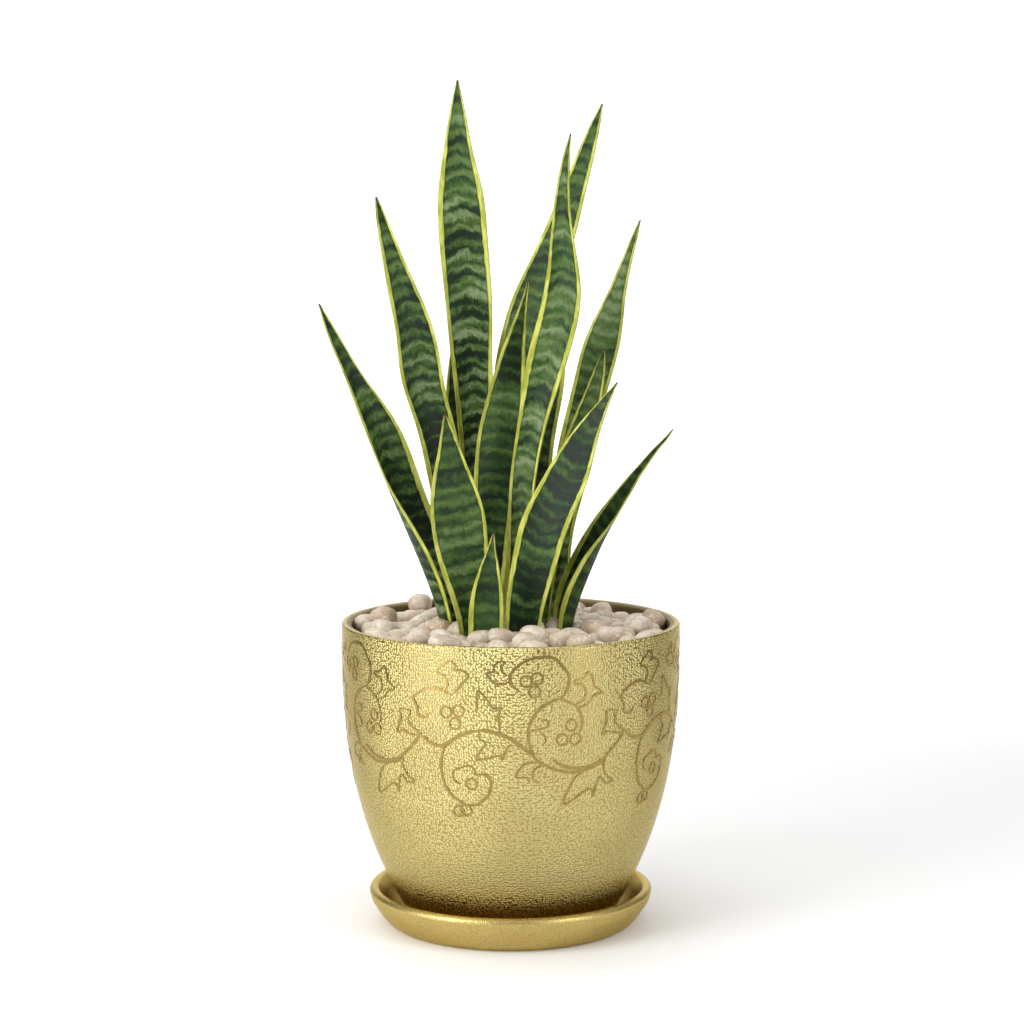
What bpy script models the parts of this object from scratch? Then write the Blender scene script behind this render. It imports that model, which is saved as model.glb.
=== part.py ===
"""Snake plant in a gold-glazed ceramic planter that stands in its own saucer.

Metres, +Z up.  The origin is the centre of the saucer's flat underside, on the pot's axis, and
-Y is the front.  The planter (pot, soil, rhizome, leaves and pebbles) lifts off the saucer as one.
"""
import math
import random

import bmesh
import bpy
from mathutils import Matrix, Vector

MM = 0.001
GAP = 0.3 * MM                   # running gap kept between pieces that touch

# Saucer
SAUCER_BASE_R = 105.0 * MM
SAUCER_LIP_R = 126.3 * MM
SAUCER_H = 33.3 * MM
SAUCER_FLOOR = 8.0 * MM          # thickness of the saucer's floor
SAUCER_FLOOR_R = 98.0 * MM
SAUCER_LIP_WIDTH = 9.0 * MM

# Pot
RIM_R = 150.0 * MM               # outer radius at the rim, a 300 mm planter
RIM_TOP = 271.5 * MM
FOOT_R = 91.0 * MM
FOOT_Z = SAUCER_FLOOR + GAP
SWELL = 2.7                      # how quickly the belly swells out above the foot
WALL = 9.0 * MM
LIP_R = 4.5 * MM                 # radius of the rounded lip
RECESS_R = 80.0 * MM             # hollow inside the foot ring
RECESS_H = 5.0 * MM
POT_FLOOR_Z = 20.0 * MM
FLOOR_FILLET = 16.0 * MM
INNER_STEPS = 6                  # straight runs up the inside of the wall
DRAIN_R = 10.0 * MM

# Fill
SOIL_TOP = 236.0 * MM
GRAVEL_TOP = 252.0 * MM
GRAVEL_CROWN = 2.0 * MM          # rise of the gravel towards the plant
ROOT_Z = 206.0 * MM              # lower end of every leaf, seated in the rhizome
RHIZOME_Z = 199.0 * MM
RHIZOME_R = 11.0 * MM

# Pebbles that lie loose on the gravel bed, in two rings
PEBBLE_SEED = 11
PEBBLE_RINGS = ((124.5 * MM, 20), (96.5 * MM, 12))
PEBBLE_LONG = (10.5 * MM, 12.5 * MM)     # half length, shortest and longest pebble
PEBBLE_WIDE = (8.5 * MM, 9.5 * MM)
PEBBLE_TALL = (8.0 * MM, 9.5 * MM)

# Leaves
LEAF_THICK = 3.2 * MM            # at the midrib of a broad leaf
MARGIN_THICK = 1.0 * MM
LEAF_RING_STEP = 42.0 * MM
LEAF_COLUMNS = (-1.0, -0.5, 0.0, 0.5, 1.0)

TURN_STEPS = 40                  # sides of a turned piece

# Each leaf is drawn by short lists over the height z, in millimetres: where its midrib goes across
# (x) and in depth (y), its half width, the way its inner face turns (degrees, 0 faces the front,
# positive turns to +X) and how deep its channel is (the margins' lead over the midrib, as a part
# of the half width).
LEAVES = {
    "leaf_tall_back": {
        "across": ((206, -22), (275, -26), (430, -31), (490, -34.5), (550, -36), (645, -42.5),
                   (712, -46.5), (748, -47)),
        "depth": ((206, 37), (275, 37), (480, 36), (748, 46)),
        "half_width": ((206, 8), (275, 12), (430, 16.5), (490, 18), (550, 20.5), (645, 20.5),
                       (672, 14.8), (712, 8.3), (748, 0.8)),
        "turn": ((206, 25), (480, 14), (748, -14)),
        "cup": ((206, 0.6), (430, 0.3), (748, 0.15))},
    "leaf_left_back": {
        "across": ((206, -46), (275, -48), (400, -59.5), (430, -64.5), (490, -81), (520, -84),
                   (550, -91.5), (610, -109.5), (645, -118)),
        "depth": ((206, 19), (275, 18), (430, 12), (645, 14)),
        "half_width": ((206, 7), (275, 10.5), (400, 18), (490, 20), (550, 16.7), (580, 10.7),
                       (610, 5.9), (645, 0.8)),
        "turn": ((206, 40), (430, 30), (645, 22)),
        "cup": ((206, 0.5), (430, 0.25), (645, 0.15))},
    "leaf_far_left": {
        "across": ((206, -52), (275, -61), (310, -72), (340, -83.5), (370, -95), (400, -104),
                   (430, -111.5), (460, -122), (490, -137), (520, -151.5), (553, -165)),
        "depth": ((206, -8), (275, -9), (370, -16), (553, -38)),
        "half_width": ((206, 7), (275, 17), (340, 21), (400, 22), (430, 21), (460, 17), (490, 9.5),
                       (520, 6.5), (553, 0.8)),
        "turn": ((206, 75), (340, 70), (370, 62), (400, 50), (460, 42), (553, 35)),
        "cup": ((206, 0.9), (340, 0.95), (370, 0.85), (400, 0.6), (430, 0.4), (553, 0.2))},
    "leaf_centre_left": {
        "across": ((206, -22), (275, -22), (340, -19), (430, -11.5), (460, -7), (490, -2),
                   (520, 4), (550, 11.3), (573, 15.7)),
        "depth": ((206, -4), (430, -5), (573, -3)),
        "half_width": ((206, 8), (275, 12), (340, 17.5), (430, 20), (460, 18), (490, 14),
                       (520, 9.3), (550, 3), (573, 0.7)),
        "turn": ((206, 20), (573, 15)),
        "cup": ((206, 0.4), (400, 0.2), (573, 0.1))},
    "leaf_tall_centre": {
        "across": ((206, 5), (275, 6.5), (400, 12), (460, 22.7), (520, 37.5), (550, 45), (580, 47.2),
                   (610, 46), (640, 44.5), (670, 46.5), (698, 51.5)),
        "depth": ((206, -21), (430, -22), (560, -28), (698, -44)),
        "half_width": ((206, 8), (275, 10.5), (400, 11.5), (460, 14), (520, 19), (550, 18.2),
                       (580, 14.5), (610, 10.5), (640, 6.5), (670, 3.5), (698, 0.7)),
        "turn": ((206, -20), (520, -18), (698, -40)),
        "cup": ((206, 0.5), (400, 0.4), (550, 0.3), (698, 0.5))},
    "leaf_tall_right": {
        "across": ((206, 7), (275, 7), (400, 4), (490, 4), (520, 10), (550, 19), (580, 31.5),
                   (610, 43.7), (670, 64.2), (700, 73.5), (728, 82)),
        "depth": ((206, 36), (275, 36), (490, 40), (728, 62)),
        "half_width": ((206, 8), (275, 12), (400, 17), (490, 19.5), (550, 20), (610, 16.5), (640, 12),
                       (670, 8.4), (700, 4.8), (728, 0.7)),
        "turn": ((206, -25), (490, -30), (728, -15)),
        "cup": ((206, 0.5), (400, 0.25), (728, 0.15))},
    "leaf_right_inner": {
        "across": ((206, 19), (275, 19), (370, 19.5), (430, 23.5), (460, 29.5), (490, 33.5),
                   (520, 38.5), (560, 45)),
        "depth": ((206, 9), (430, 9), (560, 7)),
        "half_width": ((206, 7), (275, 9.5), (430, 13), (490, 13), (520, 9), (560, 0.7)),
        "turn": ((206, 30), (560, 30)),
        "cup": ((206, 0.4), (430, 0.25), (560, 0.15))},
    "leaf_right_back": {
        "across": ((206, 43), (275, 43), (340, 44), (370, 49), (400, 56), (430, 61), (490, 76.5),
                   (520, 84.3), (580, 101.2), (625, 115.5)),
        "depth": ((206, 22), (430, 26), (625, 44)),
        "half_width": ((206, 7), (275, 11), (340, 14.5), (430, 18), (490, 18.2), (520, 19.5),
                       (550, 12.1), (580, 6.2), (610, 3.2), (625, 0.7)),
        "turn": ((206, -30), (430, -32), (625, -40)),
        "cup": ((206, 0.4), (430, 0.25), (625, 0.15))},
    "leaf_right_small": {
        "across": ((206, 25), (275, 26), (340, 34), (400, 46), (430, 57), (460, 69), (490, 77.3),
                   (513, 82.2)),
        "depth": ((206, -22), (275, -21), (340, -16), (400, -8), (513, -6)),
        "half_width": ((206, 6), (275, 8), (400, 11), (430, 11), (460, 9.7), (490, 5.8), (513, 0.7)),
        "turn": ((206, 10), (513, -20)),
        "cup": ((206, 0.4), (400, 0.25), (513, 0.15))},
    "leaf_front_right": {
        "across": ((206, 10), (275, 12), (340, 24.5), (370, 33), (400, 47.5), (430, 59), (460, 73.5),
                   (485, 89.3)),
        "depth": ((206, -43), (275, -43), (370, -47), (485, -66)),
        "half_width": ((206, 8), (275, 15.5), (310, 19.3), (370, 23), (400, 22), (430, 16.8),
                       (460, 7.3), (485, 0.7)),
        "turn": ((206, -10), (340, -22), (485, -30)),
        "cup": ((206, 0.35), (340, 0.2), (485, 0.1))},
    "leaf_far_right": {
        "across": ((206, 47), (275, 54), (310, 66.5), (340, 79.5), (370, 95.5), (400, 111.5),
                   (430, 132), (441, 142)),
        "depth": ((206, -14), (310, -14), (441, -30)),
        "half_width": ((206, 7), (275, 16), (310, 20), (340, 21), (370, 17.5), (400, 8), (430, 2),
                       (441, 0.7)),
        "turn": ((206, -80), (310, -83), (340, -82), (370, -72), (441, -70)),
        "cup": ((206, 0.9), (310, 0.9), (340, 0.8), (370, 0.7), (400, 0.5), (441, 0.4))},
    "leaf_front_left": {
        "across": ((206, -28), (275, -29), (310, -36), (340, -43), (370, -45.7), (400, -50),
                   (430, -52.7), (461, -56)),
        "depth": ((206, -46), (275, -47), (370, -55), (461, -74)),
        "half_width": ((206, 9), (275, 17), (310, 20.5), (340, 23.5), (370, 25.8), (400, 19),
                       (430, 10.1), (461, 0.7)),
        "turn": ((206, 5), (340, 18), (461, 24)),
        "cup": ((206, 0.25), (340, 0.12), (461, 0.1))},
    "leaf_front_small": {
        "across": ((206, -19), (275, -20), (310, -19), (340, -16.8), (360, -14.3)),
        "depth": ((206, -62), (275, -65), (360, -84)),
        "half_width": ((206, 8), (275, 16), (310, 13.9), (340, 4.8), (360, 0.7)),
        "turn": ((206, -10), (360, -18)),
        "cup": ((206, 0.35), (360, 0.2))},
    "leaf_left_inner": {
        "across": ((206, -48), (275, -52), (420, -48), (455, -43), (515, -38)),
        "depth": ((206, 40), (275, 41), (515, 62)),
        "half_width": ((206, 6), (275, 10), (420, 15), (455, 14.5), (490, 9), (515, 0.7)),
        "turn": ((206, 35), (515, 30)),
        "cup": ((206, 0.4), (420, 0.25), (515, 0.15))},
}

# The rhizome's creeping stems, each a run of points (x, y) in millimetres under the leaves' bases.
STEMS = (
    ((-20, -63), (-27, -46), (-21, -24), (-21, -4), (-20, 14), (-20, 33)),
    ((-20, 12), (-34, 20), (-48, 27), (-48, 41)),
    ((-24, -6), (-40, -4), (-56, -8)),
    ((-21, -20), (-8, -22), (4, -21), (26, -20), (50, -14)),
    ((8, -21), (9, -32), (9, -44)),
    ((4, -21), (16, -4), (20, 9), (41, 22)),
    ((18, 6), (8, 16), (5, 28)),
)

GOLD = ("gold_glaze", (0.62, 0.50, 0.16), 0.38, 0.85)
SAUCER_GOLD = ("saucer_gold_glaze", (0.58, 0.46, 0.15), 0.42, 0.85)
SOIL = ("potting_soil", (0.06, 0.04, 0.025), 0.95, 0.0)
RHIZOME = ("rhizome_flesh", (0.55, 0.38, 0.18), 0.7, 0.0)
GRAVEL = ("gravel", (0.55, 0.47, 0.38), 0.6, 0.0)
PEBBLE = ("river_pebble", (0.72, 0.62, 0.52), 0.45, 0.0)
LEAF = ("leaf_green", (0.07, 0.17, 0.06), 0.42, 0.0)


def clear_scene():
    for old in list(bpy.data.objects):
        bpy.data.objects.remove(old, do_unlink=True)


def finish(label):
    """Principled material of a piece, made once from its (name, colour, roughness, metallic)."""
    name, colour, roughness, metallic = label
    found = bpy.data.materials.get(name)
    if found:
        return found
    material = bpy.data.materials.new(name)
    material.use_nodes = True
    shader = material.node_tree.nodes["Principled BSDF"]
    shader.inputs["Base Color"].default_value = (*colour, 1.0)
    shader.inputs["Roughness"].default_value = roughness
    shader.inputs["Metallic"].default_value = metallic
    material.diffuse_color = (*colour, 1.0)
    return material


def add_object(name, mesh, label):
    """Turn a finished bmesh into a named object of the scene."""
    bmesh.ops.recalc_face_normals(mesh, faces=mesh.faces)
    data = bpy.data.meshes.new(name)
    mesh.to_mesh(data)
    mesh.free()
    data.shade_smooth()
    data.set_sharp_from_angle(angle=math.radians(40))
    piece = bpy.data.objects.new(name, data)
    bpy.context.scene.collection.objects.link(piece)
    piece.data.materials.append(finish(label))
    return piece


def arc(centre, radius, start, end, steps):
    """Points (r, z) on an arc, angles in degrees from +r towards +z."""
    points = []
    for i in range(steps + 1):
        angle = math.radians(start + (end - start) * i / steps)
        points.append((centre[0] + radius * math.cos(angle), centre[1] + radius * math.sin(angle)))
    return points


def turned(name, profile, label, closed=True):
    """Spin a profile of (r, z) points about Z.  A profile that isn't closed ends on the axis."""
    mesh = bmesh.new()
    points = [mesh.verts.new((r, 0.0, z)) for r, z in profile]
    edges = [mesh.edges.new(pair) for pair in zip(points, points[1:])]
    if closed:
        edges.append(mesh.edges.new((points[-1], points[0])))
    bmesh.ops.spin(mesh, geom=points + edges, cent=(0, 0, 0), axis=(0, 0, 1), angle=math.tau,
                   steps=TURN_STEPS, use_merge=True)
    bmesh.ops.remove_doubles(mesh, verts=mesh.verts, dist=1e-6)
    return add_object(name, mesh, label)


def pot_radius(z):
    """Outer radius of the pot's belly at height z."""
    top = RIM_TOP - LIP_R
    rise = min(max((z - FOOT_Z) / (top - FOOT_Z), 0.0), 1.0)
    return FOOT_R + (RIM_R - FOOT_R) * (1.0 - (1.0 - rise) ** SWELL)


def inner_wall(low, high, inset):
    """Points (r, z) up the inside of the pot's wall from low to high, moved in by inset."""
    first = POT_FLOOR_Z + FLOOR_FILLET
    last = RIM_TOP - 3 * LIP_R
    stations = [first + (last - first) * i / INNER_STEPS for i in range(INNER_STEPS + 1)]
    wall = [(z, pot_radius(z) - WALL) for z in stations]
    points = []
    for z in sorted({low, high, *(z for z in stations if low < z < high)}):
        i = max(k for k in range(INNER_STEPS) if stations[k] <= z)
        (z0, r0), (z1, r1) = wall[i], wall[i + 1]
        points.append((r0 + (r1 - r0) * (z - z0) / (z1 - z0) - inset, z))
    return points


def cavity_foot(inset):
    """Fillet (r, z) between the pot's floor and its wall, from the floor outwards."""
    z = POT_FLOOR_Z + FLOOR_FILLET
    r = pot_radius(z) - WALL - FLOOR_FILLET
    return arc((r, z), FLOOR_FILLET - inset, -90, 0, 3)


def build_saucer():
    wall = ((SAUCER_BASE_R, 0.0), (109.0 * MM, 2.0 * MM), (114.5 * MM, 7.0 * MM),
            (120.4 * MM, 15.0 * MM), (124.6 * MM, 22.0 * MM))
    lip_r = SAUCER_LIP_WIDTH / 2
    lip = arc((SAUCER_LIP_R - lip_r, SAUCER_H - lip_r), lip_r, 0, 180, 4)
    inside = ((110.0 * MM, 19.0 * MM), (SAUCER_FLOOR_R + 3.0 * MM, SAUCER_FLOOR + 2.2 * MM),
              (SAUCER_FLOOR_R, SAUCER_FLOOR), (0.0, SAUCER_FLOOR))
    return turned("saucer", [(0.0, 0.0), *wall, *lip, *inside], SAUCER_GOLD, closed=False)


def build_pot():
    outer = [(pot_radius(z), z) for z in (FOOT_Z, 20 * MM, 34 * MM, 52 * MM, 76 * MM, 106 * MM,
                                          142 * MM, 184 * MM, 230 * MM, RIM_TOP - LIP_R)]
    lip = arc((RIM_R - LIP_R, RIM_TOP - LIP_R), LIP_R, 0, 180, 4)
    inner = inner_wall(POT_FLOOR_Z + FLOOR_FILLET, RIM_TOP - 3 * LIP_R, 0.0)[::-1]
    fillet = cavity_foot(0.0)[::-1][1:]
    drain = [(DRAIN_R, POT_FLOOR_Z), (DRAIN_R, FOOT_Z + RECESS_H)]
    foot = [(RECESS_R, FOOT_Z + RECESS_H), (RECESS_R + 2 * MM, FOOT_Z), (FOOT_R - 2 * MM, FOOT_Z)]
    outer[0] = (FOOT_R, FOOT_Z + 2 * MM)
    return turned("pot", [*outer, *lip[1:], *inner, *fillet, *drain, *foot], GOLD)


def smooth(points, z):
    """Value at height z of the smooth curve through (height, value) points, with no overshoot."""
    if z <= points[0][0]:
        return points[0][1]
    if z >= points[-1][0]:
        return points[-1][1]
    secants = [(b[1] - a[1]) / (b[0] - a[0]) for a, b in zip(points, points[1:])]
    slopes = [secants[0]]
    for before, after in zip(secants, secants[1:]):
        same_way = before * after > 0
        slopes.append(2 * before * after / (before + after) if same_way else 0.0)
    slopes.append(secants[-1])
    i = max(k for k, point in enumerate(points) if point[0] <= z)
    (z0, v0), (z1, v1) = points[i], points[i + 1]
    step = z1 - z0
    t = (z - z0) / step
    rise = (v1 - v0) * t * t * (3 - 2 * t)
    return v0 + rise + step * t * (1 - t) * (slopes[i] * (1 - t) - slopes[i + 1] * t)


def leaf_ring(leaf, z, grow):
    """Closed ring of points round the leaf's cross-section at height z (mm), grown by grow (mm)."""
    midrib = Vector((smooth(leaf["across"], z), smooth(leaf["depth"], z), z))
    half = smooth(leaf["half_width"], z) + grow
    cup = smooth(leaf["cup"], z)
    turn = math.radians(smooth(leaf["turn"], z))
    face = Vector((math.sin(turn), -math.cos(turn), 0.0))
    side = Vector((math.cos(turn), math.sin(turn), 0.0))
    thick = min(LEAF_THICK / MM, 0.3 * half) / 2
    margin = min(MARGIN_THICK / MM, 0.3 * half) / 2
    inner = []
    outer = []
    for u in LEAF_COLUMNS:
        point = midrib + half * (u * side + cup * u * u * face)
        normal = (face - 2 * cup * u * side).normalized()
        depth = margin + (thick - margin) * (1 - u * u) + grow
        inner.append(point + normal * depth)
        outer.append(point - normal * depth)
    return [point * MM for point in inner + outer[::-1]]


def leaf_mesh(leaf, grow=0.0):
    """Loft the leaf's rings from its seat in the rhizome to its tip."""
    low = ROOT_Z / MM - grow
    high = leaf["across"][-1][0]
    steps = max(6, round((high - low) * MM / LEAF_RING_STEP))
    mesh = bmesh.new()
    rings = []
    for i in range(steps + 1):
        along = i / steps
        z = low + (high - low) * (1 - (1 - along) ** 1.15)
        rings.append([mesh.verts.new(point) for point in leaf_ring(leaf, z, grow)])
    for lower, upper in zip(rings, rings[1:]):
        for i in range(len(lower)):
            j = (i + 1) % len(lower)
            mesh.faces.new((lower[i], lower[j], upper[j], upper[i]))
    mesh.faces.new(rings[0][::-1])
    mesh.faces.new(rings[-1])
    bmesh.ops.triangulate(mesh, faces=mesh.faces)
    return mesh


def cutter_group(name):
    group = bpy.data.collections.new(name)
    bpy.context.scene.collection.children.link(group)
    return group


def as_cutter(piece, group):
    """Move a piece into a cutter group, out of the finished object."""
    bpy.context.scene.collection.objects.unlink(piece)
    group.objects.link(piece)
    piece.display_type = "WIRE"
    piece.hide_render = True
    return piece


def build_leaves():
    """Every leaf, and the group of slightly larger copies that hollows the pieces round them."""
    sockets = cutter_group("leaf_sockets")
    for name, leaf in LEAVES.items():
        add_object(name, leaf_mesh(leaf), LEAF)
        socket = add_object(name + "_socket", leaf_mesh(leaf, grow=GAP / MM), LEAF)
        as_cutter(socket, sockets)
    return sockets


def stem_mesh(points, radius):
    """Round stem through points (x, y) in millimetres, lying flat, with blunt tapered ends."""
    sides = 6
    spine = [Vector((x * MM, y * MM, RHIZOME_Z)) for x, y in points]
    first = (spine[0] - spine[1]).normalized()
    last = (spine[-1] - spine[-2]).normalized()
    spine = [spine[0] + first * radius, *spine, spine[-1] + last * radius]
    mesh = bmesh.new()
    rings = []
    for i, centre in enumerate(spine):
        ahead = spine[min(i + 1, len(spine) - 1)] - spine[max(i - 1, 0)]
        across = Vector((-ahead.y, ahead.x, 0.0)).normalized()
        size = radius * (0.45 if i in (0, len(spine) - 1) else 1.0)
        ring = []
        for k in range(sides):
            angle = math.tau * (k + 0.5) / sides
            offset = across * math.cos(angle) + Vector((0, 0, 1)) * math.sin(angle)
            ring.append(mesh.verts.new(centre + offset * size))
        rings.append(ring)
    for lower, upper in zip(rings, rings[1:]):
        for i in range(sides):
            j = (i + 1) % sides
            mesh.faces.new((lower[i], lower[j], upper[j], upper[i]))
    mesh.faces.new(rings[0][::-1])
    mesh.faces.new(rings[-1])
    return mesh


def boolean(piece, operation, operand):
    """EXACT boolean with another object or with every object of a group."""
    change = piece.modifiers.new(operation.lower(), "BOOLEAN")
    change.operation = operation
    change.solver = "EXACT"
    if isinstance(operand, bpy.types.Collection):
        change.operand_type = "COLLECTION"
        change.collection = operand
    else:
        change.object = operand


def joined_stems(name, radius):
    """All the rhizome's stems joined into one body."""
    group = cutter_group(name + "_stems")
    trunk = add_object(name, stem_mesh(STEMS[0], radius), RHIZOME)
    for i, points in enumerate(STEMS[1:], start=1):
        # a small change of size keeps the stems' faces from lying in one plane
        branch = add_object(f"{name}_stem_{i}", stem_mesh(points, radius * (1 - 0.02 * i)), RHIZOME)
        as_cutter(branch, group)
        boolean(trunk, "UNION", branch)
    return trunk


def build_rhizome(sockets):
    """Creeping rootstock with a seat for every leaf, and the larger copy that cuts the soil."""
    rhizome = joined_stems("rhizome", RHIZOME_R)
    boolean(rhizome, "DIFFERENCE", sockets)
    hollow = joined_stems("rhizome_hollow", RHIZOME_R + 2 * GAP)
    return rhizome, as_cutter(hollow, cutter_group("rhizome_hollows"))


def build_soil(sockets, hollow):
    wall = inner_wall(POT_FLOOR_Z + FLOOR_FILLET, SOIL_TOP, GAP)
    floor = [(0.0, POT_FLOOR_Z + GAP), *cavity_foot(GAP)]
    soil = turned("potting_soil", [*floor, *wall[1:], (0.0, SOIL_TOP)], SOIL, closed=False)
    boolean(soil, "DIFFERENCE", hollow)
    boolean(soil, "DIFFERENCE", sockets)
    return soil


def build_gravel(sockets):
    """Bed of packed gravel between the soil and the loose top pebbles."""
    wall = inner_wall(SOIL_TOP + GAP, GRAVEL_TOP, 2 * GAP)
    top = [(80.0 * MM, GRAVEL_TOP), (70.0 * MM, GRAVEL_TOP + GRAVEL_CROWN),
           (0.0, GRAVEL_TOP + GRAVEL_CROWN)]
    gravel = turned("gravel_bed", [(0.0, SOIL_TOP + GAP), *wall, *top], GRAVEL, closed=False)
    boolean(gravel, "DIFFERENCE", sockets)
    return gravel


def build_pebbles():
    """Loose pebbles in two rings on the gravel bed, each a rounded, slightly lopsided ovoid."""
    draw = random.Random(PEBBLE_SEED)
    number = 0
    for radius, count in PEBBLE_RINGS:
        for i in range(count):
            number += 1
            size = Vector((draw.uniform(*PEBBLE_LONG), draw.uniform(*PEBBLE_WIDE),
                           draw.uniform(*PEBBLE_TALL)))
            along = math.tau * (i + 0.5 * (number > PEBBLE_RINGS[0][1])) / count
            heading = draw.uniform(-0.35, 0.35) + along + math.pi / 2
            taper = draw.uniform(-0.12, 0.12)
            mesh = bmesh.new()
            bmesh.ops.create_icosphere(mesh, subdivisions=2, radius=1.0)
            for vert in mesh.verts:
                vert.co.y *= 1 + taper * vert.co.x
                vert.co = Vector(a * b for a, b in zip(vert.co, size))
            place = Vector((radius * math.cos(along), radius * math.sin(along),
                            GRAVEL_TOP + GAP + size.z))
            turn = Matrix.Rotation(heading, 4, "Z")
            bmesh.ops.transform(mesh, matrix=Matrix.Translation(place) @ turn, verts=mesh.verts)
            add_object(f"pebble_{number:02d}", mesh, PEBBLE)


clear_scene()
build_saucer()
build_pot()
leaf_sockets = build_leaves()
rhizome_hollow = build_rhizome(leaf_sockets)[1]
build_soil(leaf_sockets, rhizome_hollow)
build_gravel(leaf_sockets)
build_pebbles()
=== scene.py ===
"""Looks of the snake plant in its gold planter: leaves, glazed pot and saucer, river pebbles.

Everything is in metres in the CAD's frame: +Z up, -Y the front, the origin under the saucer.
Tables are in millimetres and are turned into metres where they are used.
"""

import math
import random

import bpy
import numpy as np
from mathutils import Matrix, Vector


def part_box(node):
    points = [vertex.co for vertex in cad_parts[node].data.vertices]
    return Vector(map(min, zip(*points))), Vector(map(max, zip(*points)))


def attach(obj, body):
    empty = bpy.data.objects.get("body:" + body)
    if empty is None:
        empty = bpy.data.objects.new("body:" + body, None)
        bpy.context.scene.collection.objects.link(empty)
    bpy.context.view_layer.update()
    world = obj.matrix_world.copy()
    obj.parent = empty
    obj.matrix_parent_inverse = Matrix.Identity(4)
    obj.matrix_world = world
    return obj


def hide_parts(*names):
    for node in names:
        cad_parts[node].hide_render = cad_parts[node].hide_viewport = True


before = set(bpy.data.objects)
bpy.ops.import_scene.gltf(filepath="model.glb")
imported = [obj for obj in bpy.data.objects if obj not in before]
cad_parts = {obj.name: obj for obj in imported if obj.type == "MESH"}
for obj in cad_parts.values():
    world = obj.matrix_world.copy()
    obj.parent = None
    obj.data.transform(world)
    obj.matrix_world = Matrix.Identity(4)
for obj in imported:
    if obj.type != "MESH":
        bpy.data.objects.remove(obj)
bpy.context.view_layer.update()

MM = 0.001

# -------------------- pot and saucer, as in the CAD
RIM_R = 150.0                    # outer radius at the rim
RIM_TOP = 271.5
LIP_R = 4.5
FOOT_R = 91.0
FOOT_Z = 8.3
SWELL = 2.7
WALL = 9.0
POT_FLOOR_Z = 20.0
FLOOR_FILLET = 16.0
DRAIN_R = 10.0
RECESS_R = 80.0
RECESS_H = 5.0
SAUCER_BASE_R = 105.0
SAUCER_LIP_R = 126.3
SAUCER_H = 33.3
SAUCER_FLOOR = 8.0
SAUCER_FLOOR_R = 98.0

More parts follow.
